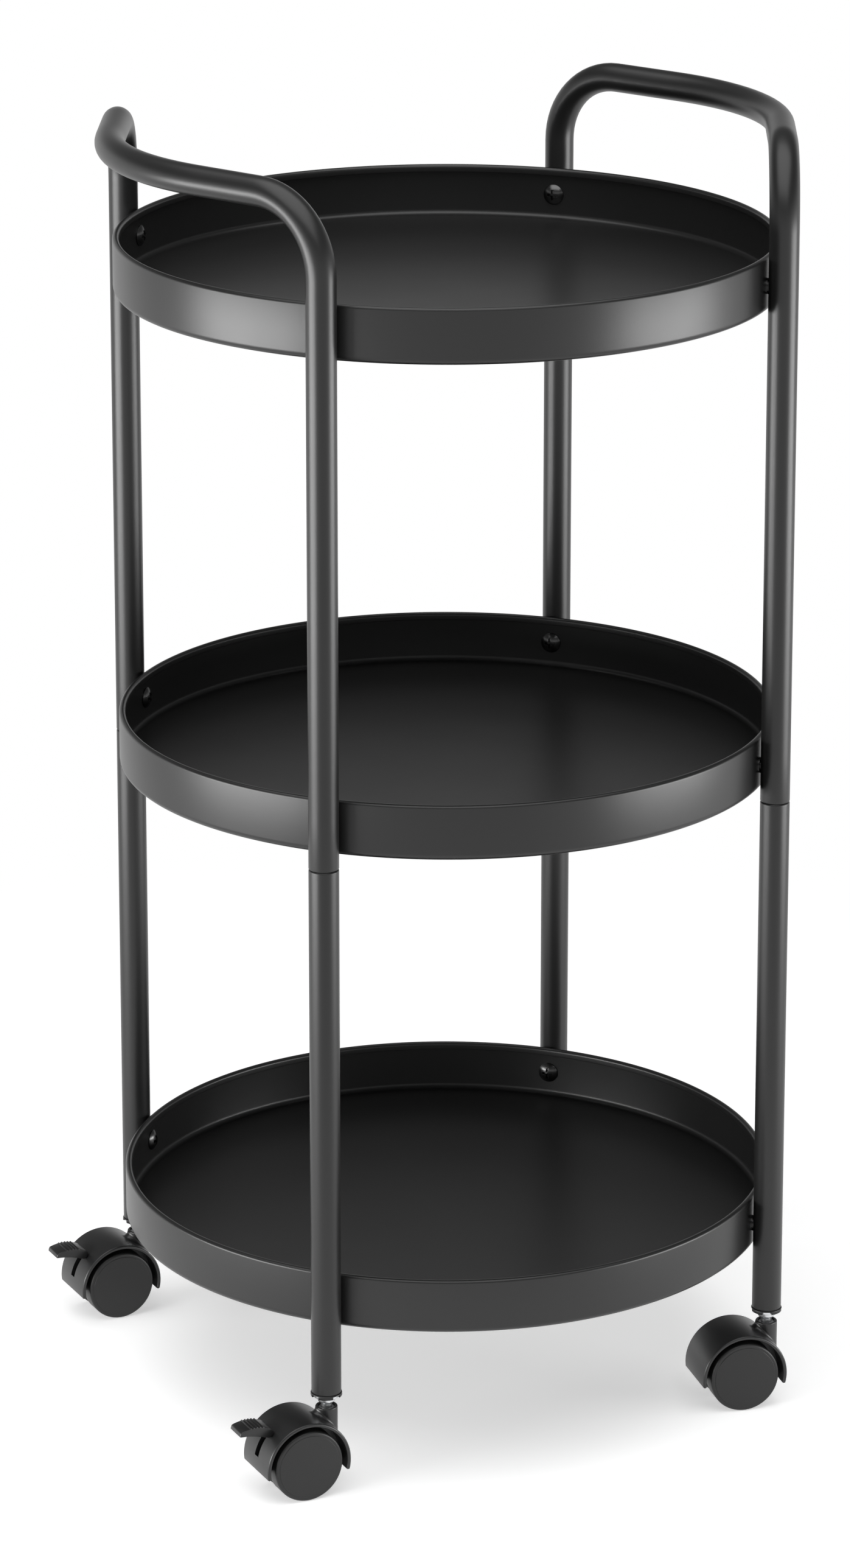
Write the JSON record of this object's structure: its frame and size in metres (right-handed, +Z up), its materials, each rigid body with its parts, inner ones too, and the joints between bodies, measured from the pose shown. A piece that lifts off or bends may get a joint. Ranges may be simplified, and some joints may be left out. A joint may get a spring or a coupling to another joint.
{
  "type": "serving cart",
  "caption": "Round tiered serving cart: pressed metal trays held between two bent tube frames with flared handle bars, on twin-wheel swivel casters, the left pair with brakes.",
  "frame": {"origin": "on the floor under the middle of the trays, which is the middle of the bounding box's base", "axes": "+Z up; +X from the left handle frame to the right one; +Y from the front posts to the back posts, away from the side that the picture was taken from"},
  "size_m": [0.382, 0.358, 0.7076],
  "materials": {
    "tray_paint": "black powder coat with a fine soft-gloss texture",
    "frame_paint": "black powder coat, satin, a little smoother than the trays",
    "screw_steel": "black plated screw heads, satin",
    "zinc_steel": "bright zinc plating",
    "plug_plastic": "black moulded nylon",
    "wheel_plastic": "black moulded nylon wheels, fine matte grain",
    "caster_plastic": "black moulded nylon hoods and levers, satin"
  },
  "bodies": {
    "cart": {"bottom_tray": "tray_paint", "bottom_tray_screws": "screw_steel", "bottom_tray_rivet_nuts": "zinc_steel", "middle_tray": "tray_paint", "middle_tray_screws": "screw_steel", "middle_tray_rivet_nuts": "zinc_steel", "top_tray": "tray_paint", "top_tray_screws": "screw_steel", "top_tray_rivet_nuts": "zinc_steel", "middle_tray_washers": "zinc_steel", "left_handle_frame": "frame_paint", "right_handle_frame": "frame_paint", "front_left_lower_leg": "frame_paint", "front_left_leg_plug": "plug_plastic", "front_left_caster_stem": "zinc_steel", "back_left_lower_leg": "frame_paint", "back_left_leg_plug": "plug_plastic", "back_left_caster_stem": "zinc_steel", "front_right_lower_leg": "frame_paint", "front_right_leg_plug": "plug_plastic", "front_right_caster_stem": "zinc_steel", "back_right_lower_leg": "frame_paint", "back_right_leg_plug": "plug_plastic", "back_right_caster_stem": "zinc_steel"},
    "front_left_caster": {"front_left_caster_hood": "caster_plastic", "front_left_caster_axle": "zinc_steel"},
    "front_left_front_wheel": {"front_left_front_wheel": "wheel_plastic"},
    "front_left_back_wheel": {"front_left_back_wheel": "wheel_plastic"},
    "front_left_brake": {"front_left_brake_lever": "caster_plastic"},
    "back_left_caster": {"back_left_caster_hood": "caster_plastic", "back_left_caster_axle": "zinc_steel"},
    "back_left_front_wheel": {"back_left_front_wheel": "wheel_plastic"},
    "back_left_back_wheel": {"back_left_back_wheel": "wheel_plastic"},
    "back_left_brake": {"back_left_brake_lever": "caster_plastic"},
    "front_right_caster": {"front_right_caster_hood": "caster_plastic", "front_right_caster_axle": "zinc_steel"},
    "front_right_front_wheel": {"front_right_front_wheel": "wheel_plastic"},
    "front_right_back_wheel": {"front_right_back_wheel": "wheel_plastic"},
    "back_right_caster": {"back_right_caster_hood": "caster_plastic", "back_right_caster_axle": "zinc_steel"},
    "back_right_front_wheel": {"back_right_front_wheel": "wheel_plastic"},
    "back_right_back_wheel": {"back_right_back_wheel": "wheel_plastic"}
  },
  "joints": [
    {"name": "front_left_swivel", "type": "hinge", "parent": "cart", "child": "front_left_caster", "pos_m": [-0.13279, -0.13279, 0.045], "axis": [0, 0, 1], "continuous": true},
    {"name": "front_left_front_wheel_spin", "type": "hinge", "parent": "front_left_caster", "child": "front_left_front_wheel", "pos_m": [-0.14999, -0.13309, 0.0195], "axis": [-0.0175, 0.9998, 0], "continuous": true},
    {"name": "front_left_back_wheel_spin", "type": "hinge", "parent": "front_left_caster", "child": "front_left_back_wheel", "pos_m": [-0.14999, -0.13309, 0.0195], "axis": [-0.0175, 0.9998, 0], "continuous": true},
    {"name": "front_left_brake_press", "type": "hinge", "parent": "front_left_caster", "child": "front_left_brake", "pos_m": [-0.14999, -0.13309, 0.0195], "axis": [0.0175, -0.9998, 0], "range_deg": [0, 28]},
    {"name": "back_left_swivel", "type": "hinge", "parent": "cart", "child": "back_left_caster", "pos_m": [-0.13279, 0.13279, 0.045], "axis": [0, 0, 1], "continuous": true},
    {"name": "back_left_front_wheel_spin", "type": "hinge", "parent": "back_left_caster", "child": "back_left_front_wheel", "pos_m": [-0.14999, 0.13234, 0.0195], "axis": [-0.0262, 0.9997, 0], "continuous": true},
    {"name": "back_left_back_wheel_spin", "type": "hinge", "parent": "back_left_caster", "child": "back_left_back_wheel", "pos_m": [-0.14999, 0.13234, 0.0195], "axis": [-0.0262, 0.9997, 0], "continuous": true},
    {"name": "back_left_brake_press", "type": "hinge", "parent": "back_left_caster", "child": "back_left_brake", "pos_m": [-0.14999, 0.13234, 0.0195], "axis": [0.0262, -0.9997, 0], "range_deg": [0, 28]},
    {"name": "front_right_swivel", "type": "hinge", "parent": "cart", "child": "front_right_caster", "pos_m": [0.13279, -0.13279, 0.045], "axis": [0, 0, 1], "continuous": true},
    {"name": "front_right_front_wheel_spin", "type": "hinge", "parent": "front_right_caster", "child": "front_right_front_wheel", "pos_m": [0.11581, -0.1301, 0.0195], "axis": [0.1564, 0.9877, 0], "continuous": true},
    {"name": "front_right_back_wheel_spin", "type": "hinge", "parent": "front_right_caster", "child": "front_right_back_wheel", "pos_m": [0.11581, -0.1301, 0.0195], "axis": [0.1564, 0.9877, 0], "continuous": true},
    {"name": "back_right_swivel", "type": "hinge", "parent": "cart", "child": "back_right_caster", "pos_m": [0.13279, 0.13279, 0.045], "axis": [0, 0, 1], "continuous": true},
    {"name": "back_right_front_wheel_spin", "type": "hinge", "parent": "back_right_caster", "child": "back_right_front_wheel", "pos_m": [0.1156, 0.13279, 0.0195], "axis": [0, 1, 0], "continuous": true},
    {"name": "back_right_back_wheel_spin", "type": "hinge", "parent": "back_right_caster", "child": "back_right_back_wheel", "pos_m": [0.1156, 0.13279, 0.0195], "axis": [0, 1, 0], "continuous": true}
  ]
}
